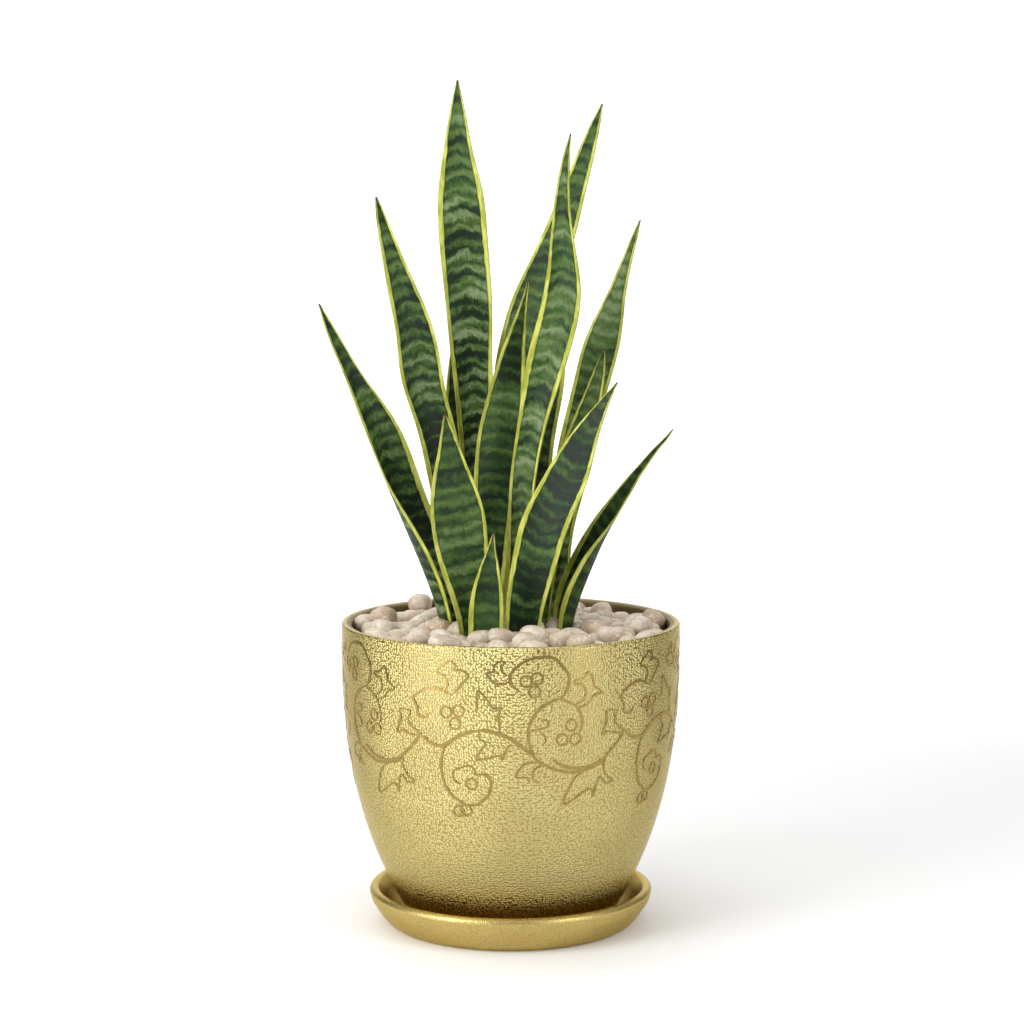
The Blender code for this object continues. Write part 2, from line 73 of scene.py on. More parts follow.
# -------------------- leaves
# Rows of (height, value) in mm and degrees.  They began as the CAD's.  Eight leaves have had their
# outlines changed since, by up to 7 mm, and leaf_left_inner is 35 mm taller than the CAD's.
LEAF_THICK = 3.2
MARGIN_THICK = 1.1               # 1.0 in the CAD
LEAVES = {
    "leaf_tall_back": {
        "across": ((206, -22), (275, -26), (430, -31), (490, -35), (550, -37.5), (600, -41.5),
                   (645, -44), (712, -47), (748, -47)),
        "depth": ((206, 37), (275, 37), (480, 36), (748, 46)),
        "half_width": ((206, 8), (275, 12), (430, 16.5), (490, 18), (550, 20.7), (600, 21.5),
                       (645, 21), (672, 15.2), (712, 8.6), (748, 0.8)),
        "turn": ((206, 25), (480, 14), (748, -14)),
        "cup": ((206, 0.6), (430, 0.3), (748, 0.15))},
    "leaf_left_back": {
        "across": ((206, -46), (275, -48), (400, -59.5), (430, -64.5), (490, -81), (520, -84),
                   (550, -91.5), (610, -109.5), (645, -118)),
        "depth": ((206, 19), (275, 18), (430, 12), (645, 14)),
        "half_width": ((206, 7), (275, 10.5), (400, 18), (490, 20), (550, 16.7), (580, 11.2),
                       (610, 7.6), (630, 4.2), (645, 0.8)),
        "turn": ((206, 40), (430, 30), (645, 22)),
        "cup": ((206, 0.5), (430, 0.25), (645, 0.15))},
    "leaf_far_left": {
        "across": ((206, -52), (275, -61), (310, -72), (340, -83.5), (370, -95), (400, -104),
                   (430, -111.5), (460, -122), (490, -137), (520, -151.5), (553, -165)),
        "depth": ((206, -8), (275, -9), (370, -16), (553, -38)),
        "half_width": ((206, 7), (275, 17), (340, 21), (400, 22), (430, 21), (460, 17), (490, 9.5),
                       (520, 6.5), (553, 0.8)),
        "turn": ((206, 75), (340, 70), (370, 62), (400, 50), (460, 42), (553, 35)),
        "cup": ((206, 0.9), (340, 0.95), (370, 0.85), (400, 0.6), (430, 0.4), (553, 0.2))},
    "leaf_centre_left": {
        "across": ((206, -22), (275, -22), (340, -19), (430, -11.5), (460, -7), (490, -2),
                   (520, 4), (550, 11.3), (573, 15.7)),
        "depth": ((206, -4), (430, -5), (573, -3)),
        "half_width": ((206, 8), (275, 12), (340, 17.5), (430, 20), (460, 18), (490, 14),
                       (520, 9.3), (550, 3), (573, 0.7)),
        "turn": ((206, 20), (573, 15)),
        "cup": ((206, 0.4), (400, 0.2), (573, 0.1))},
    "leaf_tall_centre": {
        "across": ((206, 5), (275, 6.5), (400, 12), (460, 22.7), (520, 37.5), (550, 45), (580, 47.2),
                   (610, 46.2), (640, 45.2), (670, 47.5), (698, 51.5)),
        "depth": ((206, -21), (430, -22), (560, -28), (698, -44)),
        "half_width": ((206, 8), (275, 10.5), (400, 11.5), (460, 14), (520, 19), (550, 18.2),
                       (580, 14.5), (610, 10.7), (640, 7.4), (670, 4.8), (698, 0.7)),
        "turn": ((206, -20), (520, -18), (698, -40)),
        "cup": ((206, 0.5), (400, 0.4), (550, 0.3), (698, 0.5))},
    "leaf_tall_right": {
        "across": ((206, 7), (275, 7), (400, 4), (490, 4), (520, 10), (550, 19), (580, 31.5),
                   (610, 43.5), (670, 63.2), (700, 72.5), (728, 82)),
        "depth": ((206, 36), (275, 36), (490, 40), (728, 62)),
        "half_width": ((206, 8), (275, 12), (400, 17), (490, 19.5), (550, 20), (610, 16.5), (640, 12.6),
                       (670, 9.6), (700, 6.2), (728, 0.7)),
        "turn": ((206, -25), (490, -30), (728, -15)),
        "cup": ((206, 0.5), (400, 0.25), (728, 0.15))},
    "leaf_right_inner": {
        "across": ((206, 19), (275, 19), (370, 20.5), (430, 25), (460, 31), (490, 34.8),
                   (520, 39), (560, 45)),
        "depth": ((206, 9), (430, 9), (560, 7)),
        "half_width": ((206, 7), (275, 9.5), (430, 14), (490, 13.8), (520, 9), (560, 0.7)),
        "turn": ((206, 30), (560, 30)),
        "cup": ((206, 0.4), (430, 0.25), (560, 0.15))},
    "leaf_right_back": {
        "across": ((206, 43), (275, 43), (340, 44), (370, 49), (400, 56), (430, 61), (490, 76.5),
                   (520, 84.3), (580, 101.2), (625, 115.5)),
        "depth": ((206, 22), (430, 26), (625, 44)),
        "half_width": ((206, 7), (275, 11), (340, 14.5), (430, 18), (490, 18.2), (520, 19.5),
                       (550, 12.1), (580, 6.2), (610, 3.2), (625, 0.7)),
        "turn": ((206, -30), (430, -32), (625, -40)),
        "cup": ((206, 0.4), (430, 0.25), (625, 0.15))},
    "leaf_right_small": {
        "across": ((206, 25), (275, 26), (340, 34), (400, 46), (430, 57), (460, 69), (490, 77.3),
                   (513, 82.2)),
        "depth": ((206, -22), (275, -21), (340, -16), (400, -8), (513, -6)),
        "half_width": ((206, 6), (275, 8), (400, 11), (430, 11), (460, 9.7), (490, 5.8), (513, 0.7)),
        "turn": ((206, 10), (513, -20)),
        "cup": ((206, 0.4), (400, 0.25), (513, 0.15))},
    "leaf_front_right": {
        "across": ((206, 10), (275, 12), (340, 24.5), (370, 33), (400, 47.5), (430, 59), (460, 74),
                   (487, 91.3)),
        "depth": ((206, -43), (275, -43), (370, -47), (487, -66)),
        "half_width": ((206, 8), (275, 15.5), (310, 19.3), (370, 23), (400, 22), (430, 16.8),
                       (460, 7.8), (487, 0.7)),
        "turn": ((206, -10), (340, -22), (487, -30)),
        "cup": ((206, 0.35), (340, 0.2), (487, 0.1))},
    "leaf_far_right": {
        "across": ((206, 47), (275, 54), (310, 66), (340, 78), (370, 90.5), (400, 108), (418, 119),
                   (430, 131), (444, 141.5)),
        "depth": ((206, -14), (310, -14), (444, -30)),
        "half_width": ((206, 7), (275, 16), (310, 20), (340, 19.5), (370, 13.2), (400, 6.6),
                       (418, 4), (430, 3.2), (444, 0.7)),
        "turn": ((206, -80), (310, -83), (340, -78), (370, -52), (400, -48), (444, -45)),
        "cup": ((206, 0.9), (310, 0.9), (340, 0.8), (370, 0.42), (400, 0.3), (444, 0.25))},
    "leaf_front_left": {
        "across": ((206, -28), (275, -29), (310, -36), (340, -43), (370, -45.7), (400, -50),
                   (430, -52.7), (461, -56)),
        "depth": ((206, -46), (275, -47), (370, -55), (461, -74)),
        "half_width": ((206, 9), (275, 17), (310, 20.5), (340, 23.5), (370, 25.8), (400, 19),
                       (430, 10.1), (461, 0.7)),
        "turn": ((206, 5), (340, 18), (461, 24)),
        "cup": ((206, 0.25), (340, 0.12), (461, 0.1))},
    "leaf_front_small": {
        "across": ((206, -19), (275, -20), (310, -19), (340, -16.8), (360, -14.3)),
        "depth": ((206, -62), (275, -65), (360, -84)),
        "half_width": ((206, 8), (275, 16), (310, 13.9), (340, 4.8), (360, 0.7)),
        "turn": ((206, -10), (360, -18)),
        "cup": ((206, 0.35), (360, 0.2))},
    "leaf_left_inner": {
        "across": ((206, -48), (275, -52), (420, -50.5), (488, -48), (512, -46.5), (550, -42)),
        "depth": ((206, 40), (275, 41), (420, 54), (550, 66)),
        "half_width": ((206, 6), (275, 10), (420, 14), (488, 11.9), (512, 8.2), (550, 0.7)),
        "turn": ((206, 35), (550, 30)),
        "cup": ((206, 0.4), (420, 0.25), (550, 0.15))},
}

# -------------------- small helpers


def smooth(points, at):
    """Values at the heights `at` on the smooth, overshoot-free curve through (height, value)."""
    x = np.array([p[0] for p in points], float)
    y = np.array([p[1] for p in points], float)
    secants = np.diff(y) / np.diff(x)
    slopes = np.zeros(len(x))
    slopes[0] = secants[0]
    slopes[-1] = secants[-1]
    for i in range(1, len(x) - 1):
        before, after = secants[i - 1], secants[i]
        if before * after > 0:
            slopes[i] = 2 * before * after / (before + after)
    at = np.clip(np.asarray(at, float), x[0], x[-1])
    i = np.clip(np.searchsorted(x, at, side="right") - 1, 0, len(x) - 2)
    step = x[i + 1] - x[i]
    t = (at - x[i]) / step
    rise = (y[i + 1] - y[i]) * t * t * (3 - 2 * t)
    return y[i] + rise + step * t * (1 - t) * (slopes[i] * (1 - t) - slopes[i + 1] * t)


def through(points, step):
    """Points about `step` apart on a Catmull-Rom curve through a stroke's own points."""
    p = np.array(points, float)
    p = np.vstack([2 * p[0] - p[1], p, 2 * p[-1] - p[-2]])
    out = []
    for a, b, c, d in zip(p, p[1:], p[2:], p[3:]):
        count = max(2, int(math.ceil(np.linalg.norm(c - b) / step)))
        t = np.linspace(0, 1, count, endpoint=False)[:, None]
        out.append(0.5 * (2 * b + (c - a) * t + (2 * a - 5 * b + 4 * c - d) * t ** 2
                          + (3 * b - a - 3 * c + d) * t ** 3))
    return np.vstack([*out, p[-2][None]])


def mesh_piece(name, points, faces, material, body="planter", replaces=(),
               attributes=None, sharp=None):
    """A new mesh object from points in metres, riding on a CAD body."""
    data = bpy.data.meshes.new(name)
    data.from_pydata([tuple(p) for p in points], [], [tuple(int(i) for i in f) for f in faces])
    data.validate(clean_customdata=False)
    for key, values in (attributes or {}).items():
        layer = data.attributes.new(key, "FLOAT", "POINT")
        layer.data.foreach_set("value", np.ascontiguousarray(values, dtype=np.float32))
    data.shade_smooth()
    if sharp:
        data.set_sharp_from_angle(angle=math.radians(sharp))
    piece = bpy.data.objects.new(name, data)
    bpy.context.scene.collection.objects.link(piece)
    data.materials.append(material)
    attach(piece, body)
    if replaces:
        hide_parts(*replaces)
    return piece


def grid_faces(rows, columns, wrap_rows=False):
    """Quads of a grid of points stored row after row, each row closed on itself."""
    faces = []
    for i in range(rows if wrap_rows else rows - 1):
        for j in range(columns):
            a = i * columns + j
            b = i * columns + (j + 1) % columns
            c = (i + 1) % rows * columns + (j + 1) % columns
            d = (i + 1) % rows * columns + j
            faces.append((a, b, c, d))
    return faces


class Nodes:
    """Short way to write a material's node tree."""

    def __init__(self, name):
        self.material = bpy.data.materials.new(name)
        self.material.use_nodes = True
        self.tree = self.material.node_tree
        self.shader = self.tree.nodes["Principled BSDF"]

    def add(self, kind, settings=None, **inputs):
        node = self.tree.nodes.new("ShaderNode" + kind)
        for key, value in (settings or {}).items():
            setattr(node, key, value)
        for key, value in inputs.items():
            self.put(node, key.replace("_", " "), value)
        return node

    def put(self, node, key, value):
        """Link a socket, or set a constant; key is the input's name or its number."""
        socket = node.inputs[int(key) if key.isdigit() else key]
        if isinstance(value, bpy.types.NodeSocket):
            self.tree.links.new(value, socket)
        elif isinstance(value, bpy.types.Node):
            self.tree.links.new(value.outputs[0], socket)
        else:
            socket.default_value = value

    def math(self, operation, a, b=None):
        node = self.add("Math", {"operation": operation})
        self.put(node, "0", a)
        if b is not None:
            self.put(node, "1", b)
        return node.outputs[0]

    def ramp(self, value, stops):
        """Colour ramp with stops (position, colour)."""
        node = self.add("ValToRGB")
        elements = node.color_ramp.elements
        while len(elements) < len(stops):
            elements.new(0.5)
        for element, (position, colour) in zip(elements, stops):
            element.position = position
            element.color = (*colour, 1.0) if len(colour) == 3 else colour
        self.put(node, "Fac", value)
        return node.outputs["Color"]

    def rise(self, value, low, high, out_low=0.0, out_high=1.0):
        """Smooth step of a value from low to high."""
        node = self.add("MapRange", {"interpolation_type": "SMOOTHSTEP"}, Value=value)
        for key, number in zip(("From Min", "From Max", "To Min", "To Max"),
                               (low, high, out_low, out_high)):
            node.inputs[key].default_value = number
        return node.outputs["Result"]

    def mix(self, factor, a, b):
        node = self.add("Mix", {"data_type": "RGBA"})
        self.put(node, "Factor", factor)
        for key, value in (("6", a), ("7", b)):
            self.put(node, key, (*value, 1.0) if isinstance(value, tuple) else value)
        return node.outputs[2]

    def value(self, name):
        return self.add("Attribute", {"attribute_name": name}).outputs["Fac"]

    def vector(self, x, y, z):
        node = self.add("CombineXYZ")
        for key, value in zip("012", (x, y, z)):
            self.put(node, key, value)
        return node.outputs[0]

    def noise(self, vector, scale, detail=3.0, rough=0.55, distortion=0.0):
        node = self.add("TexNoise", Vector=vector, Scale=scale, Detail=detail, Roughness=rough,
                        Distortion=distortion)
        return node.outputs["Fac"]

    def bump(self, height, strength, distance):
        node = self.add("Bump", Height=height, Strength=strength, Distance=distance)
        return node.outputs["Normal"]

    def sway(self, value, noise, amount):
        """The value moved up and down by a noise that lies round one half."""
        return self.math("ADD", value, self.math("MULTIPLY", self.math("SUBTRACT", noise, 0.5), amount))


# -------------------- materials
DARK_GREEN = (0.0085, 0.0190, 0.0080)
LEAF_GREEN = (0.0280, 0.0640, 0.0150)
FRESH_GREEN = (0.0720, 0.1300, 0.0270)
PALE_GREEN = (0.2100, 0.2700, 0.1450)
MARGIN_OLIVE = (0.3500, 0.3850, 0.0500)
MARGIN_YELLOW = (0.6000, 0.6200, 0.1300)
TIP_BROWN = (0.0850, 0.0450, 0.0180)


def leaf_material():
    """Banded leaf.  The mesh gives each point's place along and across its own leaf, in metres."""
    n = Nodes("leaf_banded")
    along = n.value("along")
    across = n.value("across")
    edge = n.value("edge")
    seed = n.value("seed")
    # fibres run along the leaf and fray the ends of the cross bands
    fibres = n.noise(n.vector(across, n.math("MULTIPLY", along, 0.07), seed), 900.0, 2.0, 0.6)
    waver = n.noise(n.vector(n.math("MULTIPLY", across, 0.8), along, seed), 110.0, 3.0, 0.6)
    frayed = n.sway(along, fibres, 0.0045)
    frayed = n.sway(frayed, waver, 0.014)
    rhythm = n.math("SINE", n.math("MULTIPLY", frayed, math.tau / 0.0118))
    patches = n.noise(n.vector(n.math("MULTIPLY", across, 0.3), frayed, seed), 48.0, 2.0, 0.5)
    fine = n.noise(n.vector(n.math("MULTIPLY", across, 0.6), frayed, seed), 330.0, 3.0, 0.6)
    mottle = n.noise(n.vector(across, n.math("MULTIPLY", along, 0.6), seed), 1300.0, 2.0, 0.6)
    level = n.math("ADD", n.math("MULTIPLY", rhythm, 0.10), n.math("MULTIPLY", patches, 0.85))
    level = n.sway(level, fine, 0.38)
    level = n.sway(level, fibres, 0.14)
    level = n.sway(level, mottle, 0.16)
    level = n.math("MULTIPLY", n.math("SUBTRACT", level, 0.425), n.value("contrast"))
    level = n.math("ADD", level, n.value("light"))
    green = n.ramp(level, ((0.36, DARK_GREEN), (0.47, LEAF_GREEN), (0.58, FRESH_GREEN),
                           (0.80, PALE_GREEN)))
    # painted shade: dark green just inside the yellow margin
    ragged = n.noise(n.vector(across, n.math("MULTIPLY", along, 0.4), seed), 260.0, 2.0, 0.6)
    inset = n.sway(edge, ragged, 0.0022)
    inset = n.math("SUBTRACT", inset, n.value("margin"))
    green = n.mix(n.rise(inset, 0.0022, 0.0, 0.0, 0.6), green, DARK_GREEN)
    tone = n.noise(n.vector(across, n.math("MULTIPLY", along, 0.3), seed), 130.0, 3.0, 0.6)
    yellow = n.mix(n.rise(tone, 0.40, 0.62), MARGIN_OLIVE, MARGIN_YELLOW)
    yellow = n.mix(n.rise(inset, -0.0009, 0.0003, 0.0, 0.7), yellow, MARGIN_OLIVE)
    colour = n.mix(n.rise(inset, 0.0005, -0.0004), green, yellow)
    # a fine brown line on the very edge, and the dry spike at the tip
    colour = n.mix(n.rise(edge, 0.0004, 0.0, 0.0, 0.25), colour, TIP_BROWN)
    colour = n.mix(n.rise(n.value("tip"), 0.005, 0.001), colour, TIP_BROWN)
    n.put(n.shader, "Base Color", colour)
    n.put(n.shader, "Roughness", n.rise(level, 0.35, 0.65, 0.46, 0.58))
    n.shader.inputs["Specular IOR Level"].default_value = 0.20
    ribs = n.noise(n.vector(across, n.math("MULTIPLY", along, 0.02), seed), 1100.0, 1.0, 0.5)
    skin = n.noise(n.vector(across, along, seed), 2500.0, 2.0, 0.6)
    height = n.math("ADD", ribs, n.math("MULTIPLY", skin, 0.35))
    n.put(n.shader, "Normal", n.bump(height, 0.35, 0.0005))
    return n.material


GOLD = (0.636, 0.556, 0.238)
# dark gold: painted shade in the grooves, and the glaze's own random clouds
GOLD_SHADE_AND_CLOUD = (0.290, 0.175, 0.040)
# painted shade: the brown of the pot's shaded foot
GOLD_FOOT_SHADE = (0.740, 0.460, 0.085)
# painted shade: the dark brown of the pot's shaded inside
GOLD_INSIDE_SHADE = (0.110, 0.068, 0.022)
SAUCER_GOLD = (0.600, 0.470, 0.170)
SCROLL_GOLD = (0.290, 0.200, 0.052)
GOLD_SHINE = (0.80, 0.72, 0.50, 1.0)
FOOT_SHADE = 0.35                 # painted shade at the foot: how far the gold turns brown below the height where this shade is full
FOOT_SHADE_TOP = 0.068
FOOT_SHADE_FULL = 0.030


def hammered_gold(name, gold, cell, depth, roughness, coat):
    """Metallic glaze over a pebbled skin of small round cells, `cell` metres apart at the rim."""
    n = Nodes(name)
    place = n.add("TexCoord").outputs["Object"]
    axes = n.add("SeparateXYZ", Vector=place)
    back = n.math("MULTIPLY", axes.outputs["Y"], -1.0)
    angle = n.math("ARCTAN2", axes.outputs["X"], back)
    skin = n.vector(n.math("MULTIPLY", angle, SCROLL_R * MM), axes.outputs["Z"], 0.0)
    cells = n.add("TexVoronoi", {"voronoi_dimensions": "2D"}, Vector=skin, Scale=1.0 / cell,
                  Randomness=0.72).outputs["Distance"]
    relief = n.value("relief")
    grain = n.noise(place, 1.3 / cell, 2.0, 0.6)
    dome = n.math("ADD", n.rise(cells, 0.58, 0.0), n.math("MULTIPLY", grain, 0.18))
    n.put(n.shader, "Normal", n.bump(n.math("MULTIPLY", dome, relief), 1.0, depth))
    # painted shade: the gold is darker in the grooves between the cells
    groove_shade = n.math("MULTIPLY", n.rise(cells, 0.30, 0.62, 0.0, 0.7), relief)
    colour = n.mix(groove_shade, gold, GOLD_SHADE_AND_CLOUD)
    cloud = n.noise(place, 28.0, 2.0, 0.5)
    colour = n.mix(n.rise(cloud, 0.35, 0.7, 0.0, 0.12), colour, GOLD_SHADE_AND_CLOUD)
    # painted shade: the gold turns brown towards the foot, where the pot stands in shade over the saucer
    foot = n.rise(axes.outputs["Z"], FOOT_SHADE_TOP, FOOT_SHADE_FULL, 0.0, FOOT_SHADE)
    colour = n.mix(n.math("MULTIPLY", foot, n.value("foot")), colour, GOLD_FOOT_SHADE)
    # painted shade: the inside of the lip and wall turns dark brown; it is also less metallic and rougher
    # there
    inside = n.value("inside")
    colour = n.mix(n.math("MULTIPLY", inside, 0.9), colour, GOLD_INSIDE_SHADE)
    n.put(n.shader, "Base Color", colour)
    n.put(n.shader, "Metallic", n.math("SUBTRACT", 1.0, n.math("MULTIPLY", inside, 0.8)))
    rough = n.rise(grain, 0.3, 0.7, roughness - 0.05, roughness + 0.07)
    n.put(n.shader, "Roughness", n.math("ADD", rough, n.math("MULTIPLY", inside, 0.35)))
    n.shader.inputs["Specular Tint"].default_value = GOLD_SHINE
    n.shader.inputs["Coat Weight"].default_value = coat
    n.shader.inputs["Coat Roughness"].default_value = 0.25
    return n.material


def scroll_gold():
    """The scroll's bands: the same glaze over a smooth ground, so they mirror the room."""
    n = Nodes("gold_scroll")
    place = n.add("TexCoord").outputs["Object"]
    cloud = n.noise(place, 160.0, 3.0, 0.6)
    n.put(n.shader, "Base Color", n.mix(n.rise(cloud, 0.3, 0.7, 0.0, 0.15), SCROLL_GOLD, GOLD))
    n.shader.inputs["Metallic"].default_value = 1.0
    n.put(n.shader, "Roughness", n.rise(cloud, 0.3, 0.7, 0.09, 0.15))
    n.shader.inputs["Coat Weight"].default_value = 0.3
    n.shader.inputs["Coat Roughness"].default_value = 0.08
    n.shader.inputs["Specular Tint"].default_value = GOLD_SHINE
    return n.material


def pebble_material(name):
    """Tumbled stone in beiges and faint pinks; each stone's own tint is in its mesh."""
    n = Nodes(name)
    place = n.add("TexCoord").outputs["Object"]
    tint = n.value("tint")
    seed = n.math("MULTIPLY", tint, 40.0)
    moved = n.add("VectorMath", {"operation": "ADD"})
    n.put(moved, "0", place)
    n.put(moved, "1", n.vector(seed, seed, seed))
    base = n.ramp(tint, ((0.0, (0.50, 0.37, 0.25)), (0.25, (0.63, 0.52, 0.40)),
                         (0.5, (0.70, 0.61, 0.49)), (0.75, (0.66, 0.55, 0.44)),
                         (1.0, (0.80, 0.74, 0.63))))
    cloud = n.noise(moved.outputs[0], 110.0, 4.0, 0.6, 0.8)
    colour = n.mix(n.rise(cloud, 0.40, 0.66, 0.0, 0.8), base, (0.50, 0.37, 0.25))
    veins = n.noise(moved.outputs[0], 230.0, 3.0, 0.6, 1.5)
    colour = n.mix(n.rise(veins, 0.50, 0.66, 0.0, 0.75), colour, (0.80, 0.74, 0.65))
    speck = n.noise(moved.outputs[0], 1000.0, 3.0, 0.65)
    colour = n.mix(n.rise(speck, 0.52, 0.72, 0.0, 0.5), colour, (0.36, 0.27, 0.19))
    n.put(n.shader, "Base Color", colour)
    n.put(n.shader, "Roughness", n.rise(cloud, 0.3, 0.7, 0.42, 0.58))
    n.shader.inputs["Specular IOR Level"].default_value = 0.35
    height = n.math("ADD", n.math("MULTIPLY", cloud, 0.6), n.math("MULTIPLY", speck, 0.25))
    n.put(n.shader, "Normal", n.bump(height, 0.25, 0.0007))
    return n.material


def soil_material():
    """Damp potting mix: dark crumbs with a few pale specks of perlite."""
    n = Nodes("potting_soil")
    place = n.add("TexCoord").outputs["Object"]
    crumbs = n.noise(place, 260.0, 5.0, 0.65)
    colour = n.ramp(crumbs, ((0.35, (0.010, 0.007, 0.004)), (0.6, (0.050, 0.030, 0.016)),
                             (0.8, (0.100, 0.065, 0.038))))
    perlite = n.add("TexVoronoi", Vector=place, Scale=140.0).outputs["Distance"]
    colour = n.mix(n.rise(perlite, 0.16, 0.10), colour, (0.60, 0.57, 0.52))
    n.put(n.shader, "Base Color", colour)
    n.shader.inputs["Roughness"].default_value = 0.95
    n.put(n.shader, "Normal", n.bump(crumbs, 0.9, 0.003))
    return n.material


def rhizome_material():
    """Pale orange-brown rootstock with darker scale rings."""
    n = Nodes("rhizome_flesh")
    place = n.add("TexCoord").outputs["Object"]
    rings = n.noise(place, 90.0, 4.0, 0.6, 0.6)
    colour = n.ramp(rings, ((0.35, (0.30, 0.16, 0.06)), (0.55, (0.55, 0.34, 0.15)),
                            (0.75, (0.70, 0.50, 0.28))))
    n.put(n.shader, "Base Color", colour)
    n.put(n.shader, "Roughness", n.rise(rings, 0.3, 0.7, 0.75, 0.55))
    n.put(n.shader, "Normal", n.bump(rings, 0.6, 0.0015))
    return n.material


# -------------------- camera, stage and lights
CAMERA_PLACE = (0.0013, -2.25, 0.6225)
CAMERA_DIP = 6.45                # degrees below the horizon
CAMERA_LENS = 90.0
# painted light: how strongly the floor and the backdrop glow
FLOOR_GLOW = 0.05
BACKDROP_GLOW = 0.45


def build_camera():
    data = bpy.data.cameras.new("camera")
    data.lens = CAMERA_LENS
    data.sensor_width = 36.0
    camera = bpy.data.objects.new("camera", data)
    camera.location = CAMERA_PLACE
    camera.rotation_euler = (math.radians(90 - CAMERA_DIP), 0.0, 0.0)
    bpy.context.scene.collection.objects.link(camera)
    bpy.context.scene.camera = camera


def build_stage():
    """Plain pale floor that sweeps up into a backdrop far behind."""
    half, front, back, bend, top = 6.0, -5.0, 2.4, 1.2, 4.0
    outline = [(front, 0.0), (back - bend, 0.0)]
    for i in range(1, 13):
        angle = math.radians(90 * i / 12)
        outline.append((back - bend + bend * math.sin(angle), bend - bend * math.cos(angle)))
    outline.append((back, top))
    points = [(x, y, z) for y, z in outline for x in (-half, half)]
    data = bpy.data.meshes.new("floor")
    faces = [(2 * i, 2 * i + 1, 2 * i + 3, 2 * i + 2) for i in range(len(outline) - 1)]
    data.from_pydata(points, [], faces)
    data.shade_smooth()
    floor = bpy.data.objects.new("floor", data)
    bpy.context.scene.collection.objects.link(floor)
    n = Nodes("floor_paint")
    place = n.add("TexCoord").outputs["Object"]
    axes = n.add("SeparateXYZ", Vector=place)
    depth = axes.outputs["Y"]
    aside = n.math("ABSOLUTE", axes.outputs["X"])
    # painted pool of light: the paper is pale in the middle and darker grey far in front and out to the sides
    painted_pool = n.math("MULTIPLY", n.rise(depth, -2.7, -1.7), n.rise(aside, 1.6, 0.95))
    n.put(n.shader, "Base Color", n.mix(painted_pool, (0.50, 0.50, 0.50), (0.90, 0.90, 0.90)))
    n.shader.inputs["Roughness"].default_value = 0.9
    n.shader.inputs["Specular IOR Level"].default_value = 0.1
    # painted light: the paper glows in the middle, faintly on the floor round the pot and strongly towards
    # the backdrop, so it burns out to white there
    n.shader.inputs["Emission Color"].default_value = (1.0, 1.0, 1.0, 1.0)
    glow = n.math("ADD", n.rise(depth, -1.6, -0.8, 0.0, FLOOR_GLOW),
                  n.rise(depth, 0.5, 1.8, 0.0, BACKDROP_GLOW))
    n.put(n.shader, "Emission Strength", n.math("MULTIPLY", glow, painted_pool))
    data.materials.append(n.material)


def area_light(name, place, target, size, power):
    data = bpy.data.lights.new(name, "AREA")
    data.shape = "RECTANGLE"
    data.size, data.size_y = size
    data.energy = power
    lamp = bpy.data.objects.new(name, data)
    lamp.location = place
    aim = Vector(target) - Vector(place)
    lamp.rotation_euler = aim.to_track_quat("-Z", "Y").to_euler()
    bpy.context.scene.collection.objects.link(lamp)


def build_lights():
    area_light("left_softbox", (-1.15, -0.90, 0.76), (0.0, 0.0, 0.62), (0.85, 1.45), 20.5)
    area_light("right_softbox", (1.10, -0.95, 0.72), (0.0, 0.0, 0.60), (0.42, 1.35), 7.5)
    area_light("top_softbox", (-0.3, 0.2, 2.3), (0.0, 0.0, 0.2), (1.6, 1.6), 15.5)
    world = bpy.data.worlds.new("studio")
    bpy.context.scene.world = world
    world.use_nodes = True
    tree = world.node_tree
    background = tree.nodes["Background"]
    place = tree.nodes.new("ShaderNodeTexCoord")
    split = tree.nodes.new("ShaderNodeSeparateXYZ")
    ramp = tree.nodes.new("ShaderNodeValToRGB")
    tree.links.new(place.outputs["Generated"], split.inputs[0])
    tree.links.new(split.outputs["Z"], ramp.inputs[0])
    tree.links.new(ramp.outputs["Color"], background.inputs["Color"])
    ramp.color_ramp.elements[0].color = (0.26, 0.26, 0.26, 1.0)
    ramp.color_ramp.elements[1].color = (0.72, 0.72, 0.72, 1.0)
    ramp.color_ramp.elements[1].position = 0.8
    background.inputs["Strength"].default_value = 1.0
    bpy.context.scene.view_settings.view_transform = "Standard"


# -------------------- leaves
RING_STEP = 3.6                  # height between a leaf's rings
BLADE_COLUMNS = 21
# Each leaf's own bands: how far they arch up (+) or sag (-) at the midrib, as a part of the half
# width, then their contrast at the foot and at the tip, then how light the leaf is (0.5 middling)
LEAF_LOOKS = {
    "leaf_tall_back": (0.45, 2.60, 0.70, 0.515),
    "leaf_left_back": (0.40, 1.90, 0.75, 0.455),
    "leaf_far_left": (0.20, 1.90, 0.70, 0.45),
    "leaf_centre_left": (0.15, 0.80, 0.65, 0.48),
    "leaf_tall_centre": (0.50, 1.05, 0.80, 0.54),
    "leaf_tall_right": (0.30, 0.85, 0.75, 0.49),
    "leaf_right_back": (-0.20, 0.90, 0.80, 0.60),
    "leaf_right_small": (0.20, 0.70, 0.60, 0.56),
    "leaf_front_right": (-0.35, 0.95, 0.70, 0.405),
    "leaf_far_right": (-0.20, 0.70, 0.60, 0.44),
    "leaf_front_left": (-0.10, 0.80, 0.70, 0.50),
    "leaf_front_small": (0.15, 0.60, 0.50, 0.42)}
PLAIN_LOOKS = (0.20, 0.80, 0.70, 0.47)


def softened(points, z, low, high):
    """The curve's mean over a short stretch, shorter still near either end of the leaf."""
    room = np.minimum(1.0, np.minimum(z - low, high - z) / 26.0)
    return np.mean([smooth(points, z + shift * room) for shift in (-18, -12, -6, 0, 6, 12, 18)], 0)


